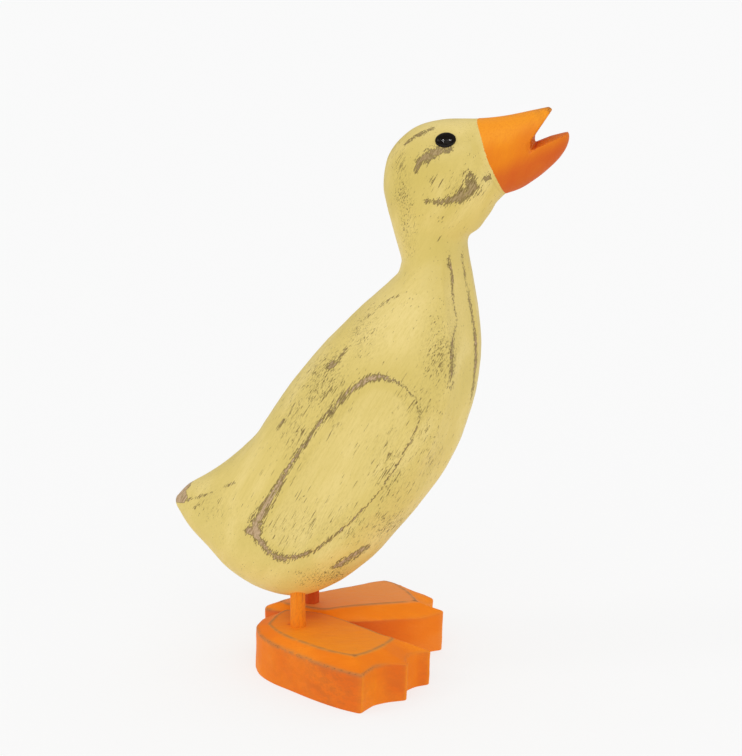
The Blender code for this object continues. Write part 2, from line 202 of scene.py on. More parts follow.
# Where the paint is scuffed with fine dark flecks: (x, z, reach along x, reach along z, density).
SCUFFS = [
    (0.043, 0.179, 0.008, 0.017, 0.88), (0.034, 0.152, 0.012, 0.016, 0.6),
    (0.02, 0.118, 0.011, 0.022, 0.7), (-0.002, 0.09, 0.016, 0.011, 0.55),
    (-0.03, 0.086, 0.02, 0.013, 0.5), (-0.017, 0.162, 0.014, 0.02, 0.85),
    (-0.03, 0.14, 0.01, 0.022, 0.7), (0.018, 0.086, 0.013, 0.013, 0.85),
    (-0.013, 0.0565, 0.016, 0.007, 1.0), (-0.08, 0.093, 0.016, 0.008, 0.5),
    (0.002, 0.19, 0.009, 0.014, 0.65), (0.037, 0.126, 0.008, 0.02, 0.6),
    (0.019, 0.276, 0.005, 0.012, 1.0), (0.0225, 0.258, 0.005, 0.015, 0.86),
    (0.0245, 0.24, 0.005, 0.015, 0.8), (0.04, 0.268, 0.015, 0.008, 0.12),
    (0.056, 0.262, 0.012, 0.008, 0.7), (0.048, 0.242, 0.009, 0.009, 0.2),
]

# Where the yellow is paler: (x, z, reach along x, reach along z, how much). Partly paler paint,
# partly a painted highlight where light falls on the top of the head and on the shoulder.
LIT_AND_PALE_SPOTS = [
    (0.018, 0.196, 0.026, 0.026, 0.85), (0.035, 0.293, 0.03, 0.008, 0.9),
    (0.05, 0.2, 0.01, 0.03, 0.6), (-0.09, 0.099, 0.015, 0.006, 0.7),
    (-0.02, 0.1, 0.026, 0.033, 0.3), (0.015, 0.138, 0.02, 0.03, 0.25),
]

# ---- camera and light ----
CAMERA_YAW = math.radians(9.852)        # seen from the duck's right, a little from ahead
CAMERA_RISE = math.radians(13.583)      # and from above
CAMERA_DISTANCE = 1.1
CAMERA_TARGET = Vector((0.0019, 0.0061, 0.1566))
CAMERA_LENS, CAMERA_SENSOR = 100.315, 36.0     # millimetres
FLOOR_SIZE = 60.0
FLOOR_GREY, FLOOR_GLOW = 0.25, 0.70
WALL_GLOW = 0.90                        # how strongly the pale walls light the duck
WALL_SEEN = 0.05                        # added where the camera sees them, to match the floor
WALL_REFLECTED = -0.60                  # added in reflections, so that the eyes stay dark
SOFTBOXES = [                           # name, direction, spread in degrees, strength
    ("softbox_front", (0.15, -0.80, 0.55), 50, 0.38),
    ("softbox_left", (-0.72, -0.36, 0.60), 16, 0.24),
]
CATCH_LIGHT_SPREAD = 3
CATCH_LIGHTS = [                        # small lamps seen only as glints: name, direction, strength
    ("lamp_left", (-0.27, -0.61, 0.74), 0.50), ("lamp_right", (0.17, -0.65, 0.74), 0.42),
    ("lamp_far_right", (0.37, -0.56, 0.74), 0.48), ("lamp_low", (-0.24, -0.77, 0.59), 0.44),
]


# ---- shape helpers ----
def smoothstep(low, high, value):
    f = np.clip((value - low) / (high - low), 0, 1)
    return f * f * (3 - 2 * f)


def soft_min(a, b, reach):
    """The smaller of a and b, rounded where they come within reach."""
    h = np.clip(0.5 + (b - a) / (2 * reach), 0, 1)
    return b + (a - b) * h - reach * h * (1 - h)


def catmull_rom(before, a, b, after, f):
    """The smooth curve from a, at f = 0, to b, at f = 1."""
    return 0.5 * (2 * a + (b - before) * f + (2 * before - 5 * a + 4 * b - after) * f ** 2
                  + (3 * a - before - 3 * b + after) * f ** 3)


def station_values(t):
    """The stations' columns at station numbers t, on a Catmull-Rom curve through them."""
    rows = np.array(STATIONS) / (*[TENTHS] * 5, 1)
    last = len(rows) - 1
    i = np.clip(np.floor(t).astype(int), 0, last - 1)
    f = (t - i)[..., None]
    before, a, b, after = (rows[np.clip(i + k, 0, last)] for k in (-1, 0, 1, 2))
    return np.moveaxis(catmull_rom(before, a, b, after, f), -1, 0)


def wobble(points, size, height):
    """A slow hand-carved unevenness of about this size and height, as a number per point."""
    k = math.tau / size
    x, y, z = (points[..., n] * k for n in range(3))
    waves = (np.sin(x + 1.7 * np.sin(0.7 * z + 0.5)) * np.cos(0.8 * y + 0.4)
             + 0.6 * np.sin(1.9 * z + 0.6 * x + 1.1) + 0.5 * np.sin(1.6 * y - 1.3 * x + 2.3))
    return height * waves / 2.1


def nearest_on_path(points, path, closed=False):
    """For each (x, z) point the distance to a curve through the path's rows and the rows' other
    columns there, and then the curve."""
    rows = np.array(path)
    count = len(rows)
    fine = np.arange(0, count if closed else count - 1, 1 / 12)
    i = np.floor(fine).astype(int)
    f = (fine - i)[:, None]
    pick = (lambda n: rows[n % count]) if closed else (lambda n: rows[np.clip(n, 0, count - 1)])
    curve = catmull_rom(pick(i - 1), pick(i), pick(i + 1), pick(i + 2), f)
    flat = points.reshape(-1, 2)
    best = np.full(len(flat), np.inf)
    extra = np.zeros((len(flat), curve.shape[1] - 2))
    for row in curve:
        away = np.hypot(flat[:, 0] - row[0], flat[:, 1] - row[1])
        closer = away < best
        best[closer] = away[closer]
        extra[closer] = row[2:]
    shape = points.shape[:-1]
    return best.reshape(shape), extra.reshape(*shape, -1), curve


def inside(points, curve):
    """Whether each (x, z) point lies inside the closed curve."""
    x, z = points[..., 0], points[..., 1]
    result = np.zeros(x.shape, bool)
    for (ax, az), (bx, bz) in zip(curve[:, :2], np.roll(curve[:, :2], -1, axis=0)):
        crosses = (az > z) != (bz > z)
        with np.errstate(divide="ignore", invalid="ignore"):
            result ^= crosses & (x < (bx - ax) * (z - az) / (bz - az) + ax)
    return result


def stroke_mask(side, strokes):
    """How bare the wood is under the strokes, for points seen from the side."""
    mask = np.zeros(side.shape[:-1])
    for path in strokes:
        away, extra, _ = nearest_on_path(side, path)
        reach, bare = extra[..., 0], extra[..., 1]
        mask = np.maximum(mask, bare * np.exp(-WEAR_FALLOFF * (away / reach) ** 2))
    return mask


def spot_mask(side, spots):
    """The strongest of the soft oval spots at each point seen from the side."""
    mask = np.zeros(side.shape[:-1])
    for x, z, reach_x, reach_z, strength in spots:
        away = ((side[..., 0] - x) / reach_x) ** 2 + ((side[..., 1] - z) / reach_z) ** 2
        mask = np.maximum(mask, strength * np.exp(-away))
    return mask


# ---- mesh helpers ----
def set_attributes(mesh, **attributes):
    """One number per point for each name."""
    for key, values in attributes.items():
        layer = mesh.attributes.new(key, "FLOAT", "POINT")
        layer.data.foreach_set("value", np.asarray(values, np.float32))


def add_mesh(name, points, faces, normals=None, **attributes):
    """An object with smooth shading and one number per point for each named attribute."""
    mesh = bpy.data.meshes.new(name)
    mesh.from_pydata([tuple(p) for p in points], [], faces)
    mesh.shade_smooth()
    set_attributes(mesh, **attributes)
    if normals is not None:
        mesh.normals_split_custom_set_from_vertices([tuple(n) for n in normals])
    obj = bpy.data.objects.new(name, mesh)
    bpy.context.scene.collection.objects.link(obj)
    return obj


def grid_faces(rows, around):
    """Quads between neighbouring closed rows of points, numbered row by row."""
    k = np.arange(around)
    n = (k + 1) % around
    low = (np.arange(rows - 1) * around)[:, None]
    quads = np.stack([low + k, low + n, low + around + n, low + around + k], axis=-1)
    return quads.reshape(-1, 4).tolist()


def grid_normals(points):
    """Outward normals of a grid of rows and closed columns."""
    along = np.gradient(points, axis=0)
    around = np.roll(points, -1, axis=1) - np.roll(points, 1, axis=1)
    normals = np.cross(around, along)
    return normals / np.linalg.norm(normals, axis=-1, keepdims=True)


def capped_grid(name, points, sink, normals, **attributes):
    """A closed object from a grid: each end is a fan whose middle lies sink[end] metres inside."""
    rows, around = points.shape[:2]
    faces = grid_faces(rows, around)
    ends = []
    for end, depth in ((0, sink[0]), (rows - 1, sink[1])):
        middle = points[end].mean(axis=0)
        inward = points[1 if end == 0 else -2].mean(axis=0) - middle
        inward /= np.linalg.norm(inward)
        centre = rows * around + len(ends)
        ends.append((middle + inward * depth, -inward))
        for k in range(around):
            pair = [end * around + k, end * around + (k + 1) % around]
            faces.append([centre, *(pair[::-1] if end == 0 else pair)])
    flat = np.vstack([points.reshape(-1, 3), [e[0] for e in ends]])
    if normals is not None:
        normals = np.vstack([normals.reshape(-1, 3), [e[1] for e in ends]])
    padded = {key: np.append(value.reshape(-1), [0, 0]) for key, value in attributes.items()}
    return add_mesh(name, flat, faces, normals, **padded)


def finish_piece(piece, slot, material, *nodes):
    piece.data.materials.clear()
    piece.data.materials.append(material)
    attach(piece, "root")
    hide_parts(*nodes)


# ---- the duck's skin ----
def skin(t, around, grow=0.0):
    """Points of the duck's surface at station numbers t (rows, around)."""
    back_x, back_z, belly_x, belly_z, width, power = station_values(t)
    middle = np.stack([(back_x + belly_x) / 2, (back_z + belly_z) / 2], axis=-1)
    ahead = np.stack([(belly_x - back_x) / 2, (belly_z - back_z) / 2], axis=-1)
    depth = np.linalg.norm(ahead, axis=-1)
    ahead /= depth[..., None]
    angle = math.tau * np.arange(around) / around
    along, across = depth * np.cos(angle), width * np.sin(angle)
    reach = np.hypot(along, across)
    c, s = along / reach, across / reach
    radius = ((np.abs(c) / depth) ** power + (np.abs(s) / width) ** power) ** (-1 / power)
    wing = WING_HALF_WIDTH / np.maximum(np.abs(s), 1e-3)
    radius = np.where(t < NECK_SEAM, soft_min(radius, wing, 0.0012), radius)
    facing = c * math.cos(BREAST_CHAMFER_ANGLE) + np.abs(s) * math.sin(BREAST_CHAMFER_ANGLE)
    flat = BREAST_CHAMFER_DEPTH * depth / np.maximum(facing, 1e-3)
    cut = soft_min(radius, flat, 0.0005)
    fade = smoothstep(0, 1, t - BREAST_FIRST_STATION) * (facing > 0)
    fade *= 1 - smoothstep(*BREAST_CHAMFER_FADE, t)
    radius = radius + (cut - radius) * fade + grow
    plane = middle + ahead * (radius * c)[..., None]
    return np.stack([plane[..., 0], radius * s, plane[..., 1]], axis=-1)


def carved(points, normals):
    """The points moved along their normals by the hand tool's slow unevenness."""
    lift = wobble(points, 0.045, 0.00022) + wobble(points, 0.017, 0.00007)
    return points + normals * lift[..., None]


def tail_rows():
    """Station numbers of the rows that round the tail's end, and how far each is drawn in."""
    angle = np.linspace(0, math.pi / 2, 9)[:-1]
    return TAIL_ROUNDING * (1 - np.cos(angle)) / TAIL_GAP, TAIL_ROUNDING * (1 - np.sin(angle))


def over_ridge(side, edge, edge_bare):
    """The wing's rubbed edge with the breast ridge's in its place close to the ridge."""
    ridge = np.array(RIDGE)
    away, extra, _ = nearest_on_path(side, RIDGE)
    behind = side[..., 0] < np.interp(side[..., 1], ridge[:, 1], ridge[:, 0])
    across = np.where(behind, -away, away) / extra[..., 0]
    bare = extra[..., 1] * (1 - smoothstep(2.5, 3.5, np.abs(across)))
    bare *= (side[..., 1] > ridge[0, 1]) * (side[..., 1] < ridge[-1, 1])
    near = away < RIDGE_NEAR
    return np.where(near, across, edge), np.where(near, bare, edge_bare)


def body_edges(side, signed, extra, flank, out, z):
    """Signed distance to the nearest rubbed edge, in reaches, and how bare that edge is."""
    edge, edge_bare = over_ridge(side, signed / extra[..., 0], flank * extra[..., 1])
    front = (0.40 + 0.52 * np.exp(-((z - 0.176) / 0.020) ** 2)) * (side[..., 0] > 0.045)
    front *= smoothstep(0.145, 0.155, z) * (1 - smoothstep(0.226, 0.234, z))
    front *= 1 - smoothstep(0.003, 0.005, np.abs(out - FRONT_LINE_Y))
    middle = out < FRONT_STRIP_Y
    edge = np.where(middle, (out - FRONT_LINE_Y) / FRONT_LINE_REACH, edge)
    return np.clip(edge, -6, 6), np.where(middle, front, edge_bare)


def body_marks(points, normals, side, signed, extra, flank, t):
    """The numbers that the yellow paint is driven by, for each point of the body and head."""
    x, out, z = points[..., 0], np.abs(points[..., 1]), points[..., 2]
    edge, edge_bare = body_edges(side, signed, extra, flank, out, z)
    tip = smoothstep(0, 0.0012, TAIL_BARE_X - side[..., 0] + 0.0008 * np.sin(z / 0.0008))
    tip *= smoothstep(0, 0.0008, z - TAIL_BARE_Z - 0.25 * (side[..., 0] + 0.1))
    near_leg = np.hypot(x - LEG_X, out - LEG_SPACING / 2)
    # Warmer round the top of each leg.
    leg_stain = (z < 0.06) * (1 - smoothstep(LEG_RADIUS, LEG_RADIUS + 0.005, near_leg))
    # Painted light: the lowest part of the belly and every face looking downwards are tinted warm,
    # for the orange light that the feet throw up onto the shaded underside.
    belly = 0.8 * (1 - smoothstep(0.045, 0.072, z)) * smoothstep(-0.045, -0.020, x)
    facing_down = 0.22 * smoothstep(0.0, 0.6, -normals[..., 2])
    # Painted highlight: the flat wing panel, which faces the front light, is painted paler than the
    # rounded flank round it.
    panel = 0.55 * flank * smoothstep(0.002, 0.008, signed)
    above_neck = 0.25 * (1 - smoothstep(13, 17.5, t))
    return {
        "wear": np.maximum((out > 0.008) * stroke_mask(side, STROKES), 1.2 * tip),
        "edge": edge,
        "edge_bare": edge_bare,
        "scuff": spot_mask(side, SCUFFS) * (0.4 + 0.6 * smoothstep(0.010, 0.024, out)),
        "stain": np.maximum.reduce([belly, facing_down, leg_stain]),
        "pale": np.maximum.reduce([panel, spot_mask(side, LIT_AND_PALE_SPOTS), above_neck]),
    }


def make_body_and_head(body_material, head_material):
    """The body with its raised wing panels, and the head, from one skin parted at the neck."""
    tail_t, tail_inset = tail_rows()
    rest = np.arange(TAIL_ROUNDING / TAIL_GAP, HEAD_END + 1e-6, 1 / RINGS_PER_STATION)
    seam = np.argmin(np.abs(rest - NECK_SEAM)) + len(tail_t)
    rest[seam - len(tail_t)] = NECK_SEAM
    t = np.concatenate([tail_t, rest])[:, None] * np.ones(BODY_AROUND)
    inset = np.concatenate([tail_inset, np.zeros(len(rest))])[:, None]
    inset = inset + HEAD_UNDER_BILL * smoothstep(BILL_BASE + 0.1, BILL_BASE + 0.3, t)
    points = skin(t, BODY_AROUND, -inset)
    side = points[..., [0, 2]]
    normals = grid_normals(points)

    away, extra, curve = nearest_on_path(side, WING, closed=True)
    signed = np.where(inside(side, curve), away, -away)
    flank = smoothstep(*WING_FLANK, np.abs(points[..., 1])) * (t < NECK_SEAM)
    relief = WING_RELIEF * smoothstep(-WING_EDGE, WING_EDGE, signed)
    relief -= 0.4 * WING_RELIEF * np.exp(-((signed + 0.003) / 0.003) ** 2)
    points[..., 1] += np.sign(points[..., 1]) * flank * relief
    points = carved(points, normals)
    normals = grid_normals(points)

    marks = body_marks(points, normals, side, signed, extra, flank, t)

    def piece(name, rows, sink):
        chosen = {key: values[rows] for key, values in marks.items()}
        return capped_grid(name, points[rows], sink, normals[rows], **chosen)

    body = piece("painted_body", slice(None, seam + 1), (0.0002, 0.004))
    head = piece("painted_head", slice(seam, None), (0.004, 0.004))
    finish_piece(body, "yellow_paint", body_material, "body")
    finish_piece(head, "yellow_paint", head_material, "head")
    return head


def add_cutter(name, bm):
    bmesh.ops.recalc_face_normals(bm, faces=bm.faces)
    mesh = bpy.data.meshes.new(name)
    bm.to_mesh(mesh)
    bm.free()
    cutter = bpy.data.objects.new(name, mesh)
    bpy.context.scene.collection.objects.link(cutter)
    return cutter


def mouth_wedge():
    """The cut that opens the bill, carried on past the tips and both sides."""
    cut = [np.array((x, 0, z)) for x, z in MOUTH_CUT]
    outline = [cut[1] + MOUTH_CUT_REACH * (cut[0] - cut[1]), *cut[1:4],
               cut[3] + MOUTH_CUT_REACH * (cut[4] - cut[3])]
    bm = bmesh.new()
    columns = []
    for y in (-MOUTH_CUT_HALF, 0.0, MOUTH_CUT_HALF):
        drop = np.array((0, y, MOUTH_LEAN * y - MOUTH_CAMBER * abs(y)))
        columns.append([bm.verts.new(p + drop * (1, 1, k > 1)) for k, p in enumerate(outline)])
    count = len(outline)
    for near, far in zip(columns, columns[1:]):
        for k in range(count):
            n = (k + 1) % count
            bm.faces.new((near[k], near[n], far[n], far[k]))
    bm.faces.new(columns[0])
    bm.faces.new(columns[-1])
    return add_cutter("mouth_wedge", bm)


def gouge(name, centre):
    """An ellipsoid cutter: where a gouge took a little wood away."""
    bm = bmesh.new()
    bmesh.ops.create_uvsphere(bm, u_segments=32, v_segments=20, radius=1.0)
    place = Matrix.Translation(centre) @ Matrix.Diagonal((*GOUGE_SIZE, 1))
    bmesh.ops.transform(bm, matrix=place, verts=bm.verts)
    return add_cutter(name, bm)


def apply_modifiers(obj):
    graph = bpy.context.evaluated_depsgraph_get()
    mesh = bpy.data.meshes.new_from_object(obj.evaluated_get(graph))
    obj.modifiers.clear()
    obj.data = mesh


def make_bill(material):
    """The open bill: the skin's front end with the mouth cut out, its edges softened."""
    angle = math.tau * np.arange(BILL_AROUND) / BILL_AROUND
    start = BILL_BASE - 0.03 + 0.035 * np.sin(2 * angle + 0.6) + 0.02 * np.sin(5 * angle)
    f = np.linspace(0, 1, BILL_ROWS)[:, None]
    t = start * (1 - f) + BILL_END * f
    drawn_in = np.maximum(BILL_ROUNDING - (BILL_END - t) * BILL_GAP, 0)
    inset = BILL_ROUNDING - np.sqrt(BILL_ROUNDING ** 2 - drawn_in ** 2)
    points = skin(t, BILL_AROUND, PAINT_EDGE - inset)
    points = carved(points, grid_normals(points))
    bill = capped_grid("painted_bill", points, (0.0, -0.0004), None)
    tree = BVHTree.FromObject(bill, bpy.context.evaluated_depsgraph_get())
    cutters = [mouth_wedge()]
    for side in (1, -1):
        start = Vector((MOUTH_GROOVE[0], side * MOUTH_CUT_HALF, MOUTH_GROOVE[1]))
        surface, _, _, _ = tree.ray_cast(start, Vector((0, -side, 0)))
        centre = surface + Vector((0, side * GOUGE_OUT, 0))
        cutters.append(gouge(f"mouth_groove_{side + 1}", centre))
    for cutter in cutters:
        modifier = bill.modifiers.new(cutter.name, "BOOLEAN")
        modifier.operation = "DIFFERENCE"
        modifier.solver = "EXACT"
        modifier.object = cutter
    remesh = bill.modifiers.new("soften", "REMESH")
    remesh.mode = "VOXEL"
    remesh.voxel_size = BILL_VOXEL
    remesh.use_smooth_shade = True
    smooth = bill.modifiers.new("rub", "SMOOTH")
    smooth.factor = 0.5
    smooth.iterations = 5
    apply_modifiers(bill)
    for cutter in cutters:
        bpy.data.objects.remove(cutter)
    paint_bill_marks(bill)
    finish_piece(bill, "orange_paint", material, "head")


def paint_bill_marks(bill):
    """Wear at the tips, deeper colour on the lower bill and in the mouth, and painted shade in the
    gouges at its corners.
    """
    mesh = bill.data
    points = np.array([v.co for v in mesh.vertices])
    normals = np.array([v.normal for v in mesh.vertices])
    away = np.linalg.norm(points[:, None] - np.array(BILL_TIPS), axis=-1)
    wear = np.maximum(0.62 - away[:, 0] / 0.012, 0.22 - away[:, 1] / 0.012)
    corner, lip = np.array(MOUTH_CUT[2]), np.array(MOUTH_CUT[4]) - MOUTH_CUT[2]
    lip /= np.linalg.norm(lip)
    offset = points[:, [0, 2]] - corner
    along, above = offset @ lip, offset @ np.array([-lip[1], lip[0]])
    inner = (along > -0.001) * (np.abs(above) < 0.0024) * (normals[:, 2] > 0.35)
    groove = points[:, [0, 2]] - MOUTH_GROOVE
    # Painted shade: the gouges at the mouth's corners are painted deep red for their hollows,
    # partly the red paint there.
    pit = np.exp(-((groove[:, 0] - 0.0022) / 0.0010) ** 2 - (groove[:, 1] / 0.0016) ** 2)
    round_groove = 0.30 * np.exp(-(groove[:, 0] / 0.0026) ** 2 - (groove[:, 1] / 0.0040) ** 2)
    level = above - 0.10 * along
    jaw = 0.66 * (1 - smoothstep(-0.0085, 0.0010, level))
    jaw = jaw + 0.10 * (1 - smoothstep(0.0010, 0.0080, level))
    stain = np.maximum.reduce([pit, round_groove, jaw * (1 - inner), 0.40 * inner])
    rub = np.maximum(0.8 * np.exp(-away[:, 0] / 0.006), 0.25 * np.exp(-away[:, 1] / 0.004))
    pale = 0.8 * smoothstep(0.0060, 0.0140, level)
    set_attributes(mesh, wear=np.clip(wear, 0, 1), stain=stain, rub=rub, pale=pale)


def make_eye(side, head, material):
    """An oval glossy bead on the head's surface."""
    name = "left" if side > 0 else "right"
    tree = BVHTree.FromObject(head, bpy.context.evaluated_depsgraph_get())
    at, normal, _, _ = tree.find_nearest(Vector((EYE_AT[0], side * EYE_AT[1], EYE_AT[2])))
    along = Vector((math.cos(EYE_TILT), 0, math.sin(EYE_TILT)))
    ahead = (along - normal * along.dot(normal)).normalized()
    place = np.array([ahead, normal.cross(ahead), normal]).T
    around = 64
    rise = np.radians(np.linspace(0, 86, 20))
    reach = np.concatenate([[0.97, 1.0], np.cos(rise)])
    height = np.concatenate([[-EYE_SUNK, -EYE_SUNK + 0.0002], EYE_PROUD * np.sin(rise)])
    angle = math.tau * np.arange(around) / around
    oval = np.stack([EYE_LONG * reach[:, None] * np.cos(angle),
                     EYE_HIGH * reach[:, None] * np.sin(angle),
                     height[:, None] * np.ones(around)], axis=-1)
    points = oval @ place.T + np.array(at)
    eye = capped_grid(f"glossy_eye_{name}", points, (0.0, -0.00001), None)
    finish_piece(eye, "eye_gloss", material, f"eye_{name}")


# ---- legs and feet ----
def make_leg(side, material):
    """A whittled dowel, a little uneven, with rounded ends."""
    name = "left" if side > 0 else "right"
    low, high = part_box(f"leg_{name}")
    rows, around = 90, 72
    z = np.linspace(low.z, high.z, rows)[:, None]
    angle = (math.tau * np.arange(around) / around)[None, :]
    facets = 0.00010 * np.cos(7 * angle + side) + 0.00007 * np.cos(3 * angle + 2 * side)
    radius = LEG_RADIUS + facets + 0.00006 * np.sin(z / 0.004 + 2 * angle)
    end = np.minimum(z - low.z, high.z - z)
    radius = radius - np.maximum(0.0012 - end, 0) * 0.8
    points = np.stack([LEG_X + radius * np.cos(angle),
                       side * LEG_SPACING / 2 + radius * np.sin(angle),
                       z * np.ones((1, around))], axis=-1)
    # Painted light: the far (left) leg is painted deep red for the shade it stands in, and the near
    # leg paler for the light on it.
    stain = np.full(points.shape[:2], 0.9 if side > 0 else 0.0)
    leg = capped_grid(f"painted_leg_{name}", points, (0.0, 0.0), None, stain=stain,
                      pale=0.6 * (1 - stain), scuff=np.full(points.shape[:2], 0.5))
    finish_piece(leg, "orange_paint", material, f"leg_{name}")


def outline_curve(outline):
    """Evenly spaced points round a foot: curved where the outline turns gently, else cornered."""
    rows = np.array(outline) / TENTHS
    ahead = np.roll(rows, -1, axis=0) - rows
    length = np.linalg.norm(ahead[:, :2], axis=1, keepdims=True)
    slope_out = ahead / length
    slope_in = np.roll(slope_out, 1, axis=0)
    length_in = np.roll(length, 1, axis=0)
    turn = np.arccos(np.clip((slope_out[:, :2] * slope_in[:, :2]).sum(1), -1, 1))
    gentle = (turn < FOOT_CORNER)[:, None]
    mean = (slope_out * length_in + slope_in * length) / (length + length_in)
    leave, arrive = np.where(gentle, mean, slope_out), np.where(gentle, mean, slope_in)
    points = []
    for k in range(len(rows)):
        n = (k + 1) % len(rows)
        count = max(2, round(float(length[k, 0]) / FOOT_SPACING))
        f = (np.arange(count) / count)[:, None]
        points.append((1 + 2 * f) * (1 - f) ** 2 * rows[k] + f * (1 - f) ** 2 * length[k] * leave[k]
                      + f * f * (3 - 2 * f) * rows[n] + f * f * (f - 1) * length[k] * arrive[n])
    curve = np.vstack(points)
    for _ in range(5):
        curve = (np.roll(curve, 1, axis=0) + 2 * curve + np.roll(curve, -1, axis=0)) / 4
    return curve


def outline_corners(outline):
    """How strongly a closed outline turns outwards at each point, from 0 to 1."""
    reach = 3
    before = outline - np.roll(outline, reach, axis=0)
    after = np.roll(outline, -reach, axis=0) - outline
    turn = before[:, 1] * after[:, 0] - before[:, 0] * after[:, 1]
    turn /= np.linalg.norm(before, axis=1) * np.linalg.norm(after, axis=1)
    corner = smoothstep(0.25, 0.75, turn)
    for _ in range(4):
        corner = (np.roll(corner, 1) + 2 * corner + np.roll(corner, -1)) / 4
    return corner


def rounded_rows(corners, radius, step):
    """Rows of points from the first corner to the last, rounding the corners between them."""
    rows, ends = [], [corners[0]]
    for before, at, after in zip(corners, corners[1:], corners[2:]):
        enter, leave = (at + (p - at) / np.linalg.norm(p - at, axis=-1, keepdims=True) * radius
                        for p in (before, after))
        ends += [enter, leave]
    ends.append(corners[-1])
    for k in range(0, len(ends), 2):
        start, stop = ends[k], ends[k + 1]
        count = max(2, math.ceil(float(np.linalg.norm(stop - start, axis=-1).max()) / step))
        rows += [start + (stop - start) * f for f in np.linspace(0, 1, count + 1)]
        if k + 2 < len(ends):
            at, after = corners[k // 2 + 1], ends[k + 2]
            rows += [(1 - f) ** 2 * stop + 2 * f * (1 - f) * at + f * f * after
                     for f in np.linspace(0, 1, 7)[1:-1]]
    return np.stack(rows)


def foot_marks(side, rows, normals, wall_high, top, corner, top_corner):
    """The numbers that a foot's paint is driven by: bare corners, grimy edges, and painted light:
    red shade in the gap, on the outer walls and beside the legs, with paler lit tops and corners.
    """
    to_top = np.linalg.norm(rows - top, axis=-1)
    to_wall = np.linalg.norm(rows - wall_high, axis=-1)
    outwards = side * rows[..., 1]
    outer_side = smoothstep(0.0, 0.012, outwards - 0.018 - 0.6 * (rows[..., 0] - LEG_X))
    wear = 0.60 * top_corner * (1 - to_top / 0.0022)
    wear = np.maximum(wear, 0.20 * outer_side * (1 - to_wall / 0.0020))
    top_line = np.exp(-(to_top / (0.0010 + 0.0007 * top_corner)) ** 2)
    grime = np.maximum((0.75 + 0.25 * top_corner) * top_line,
                       (0.15 + 0.45 * outer_side) * np.exp(-(to_wall / 0.0013) ** 2))
    ahead, height = rows[..., 0] - LEG_X, rows[..., 2]
    wall = 1 - smoothstep(-0.0008, 0.0002, height - wall_high[:, 2])
    rub = 0.45 * smoothstep(0.03, 0.05, outwards) * np.exp(-((ahead - 0.026) / 0.018) ** 2)
    rub = wall * np.maximum(rub, 0.22 * smoothstep(0.55, 0.95, side * normals[..., 1]))
    plateau = smoothstep(-0.0008, -0.0002, height - FOOT_HEIGHT)
    # Painted highlight: the flat top is paler for the light and sheen on it, and the walls' corners
    # paler where they catch the light, partly thinner paint there.
    pale = np.maximum(0.85 * plateau, 0.6 * wall * corner)
    # Painted shade: deep red on the walls that face the other foot, on the walls facing outwards
    # below the lit top, and on the top beside the legs; also a dark red spot beside each leg.
    hole = rows - np.array([LEG_X - 0.0050, side * (LEG_SPACING / 2 - 0.0012), FOOT_HEIGHT])
    gap_shade = wall * smoothstep(0.4, 0.8, -side * normals[..., 1])
    gap_shade *= 0.75 - 0.45 * smoothstep(0.02, 0.07, ahead)
    outer_wall_shade = 0.46 * wall * smoothstep(0.55, 0.95, side * normals[..., 1])
    shade = 0.55 * plateau * np.exp(-((ahead - 0.002) / 0.010) ** 2)
    shade *= 1 - smoothstep(0.004, 0.016, outwards)
    stain = np.maximum.reduce([np.exp(-(hole ** 2).sum(-1) / 0.0009 ** 2), gap_shade, outer_wall_shade, shade])
    return {"wear": np.clip(wear, 0, 1), "rub": rub, "stain": stain, "pale": pale, "grime": grime}


def make_foot(side, material):
    """A thick block with soft edges: walls, toes, chamfer and flat top."""
    name = "left" if side > 0 else "right"
    curve = outline_curve(FOOT_OUTLINES[name])
    wall_x, wall_y, wall_z, top_x, top_y = curve.T
    zero, level = np.zeros(len(curve)), np.full(len(curve), FOOT_HEIGHT)
    wall_low = np.stack([LEG_X + wall_x, side * wall_y, zero], axis=-1)
    wall_high = np.stack([LEG_X + wall_x + FOOT_LEAN, side * wall_y, wall_z], axis=-1)
    top = np.stack([LEG_X + top_x, side * top_y, level], axis=-1)
    centre = top.mean(axis=0)
    sole = wall_low + (centre * (1, 1, 0) - wall_low) * 0.06
    inner = top + (centre - top) * 0.96
    rows = rounded_rows([sole, wall_low, wall_high, top, inner], FOOT_EDGE, 0.0012)
    if side > 0:
        rows = rows[:, ::-1]
        wall_high, top = wall_high[::-1], top[::-1]
    normals = grid_normals(rows)
    normals *= np.sign(normals[-1, :, 2].mean())
    corner, top_corner = outline_corners(curve[:, :2]), outline_corners(curve[:, 3:5])
    if side > 0:
        corner, top_corner = corner[::-1], top_corner[::-1]
    lift = wobble(rows, 0.030, 0.00022) + wobble(rows, 0.011, 0.00008)
    lift *= smoothstep(0, 0.004, rows[..., 2])
    rows = rows + normals * lift[..., None]
    marks = foot_marks(side, rows, normals, wall_high, top, corner, top_corner)
    count = rows.shape[1]
    total = len(rows) * count
    faces = [face[::-1] for face in grid_faces(len(rows), count)]
    faces.append(list(range(count)))
    faces.append(list(range(total - count, total))[::-1])
    foot = add_mesh(f"painted_foot_{name}", rows.reshape(-1, 3), faces,
                    **{key: values.reshape(-1) for key, values in marks.items()})
    bm = bmesh.new()
    bm.from_mesh(foot.data)
    bmesh.ops.recalc_face_normals(bm, faces=bm.faces)
    bm.to_mesh(foot.data)
    bm.free()
    finish_piece(foot, "orange_paint", material, f"foot_{name}")


# ---- materials ----
def srgb(red, green, blue):
    """A colour's linear values from its 0 to 255 screen values."""
    values = [v / 255 for v in (red, green, blue)]
    return (*[v / 12.92 if v <= 0.04045 else ((v + 0.055) / 1.055) ** 2.4 for v in values], 1.0)


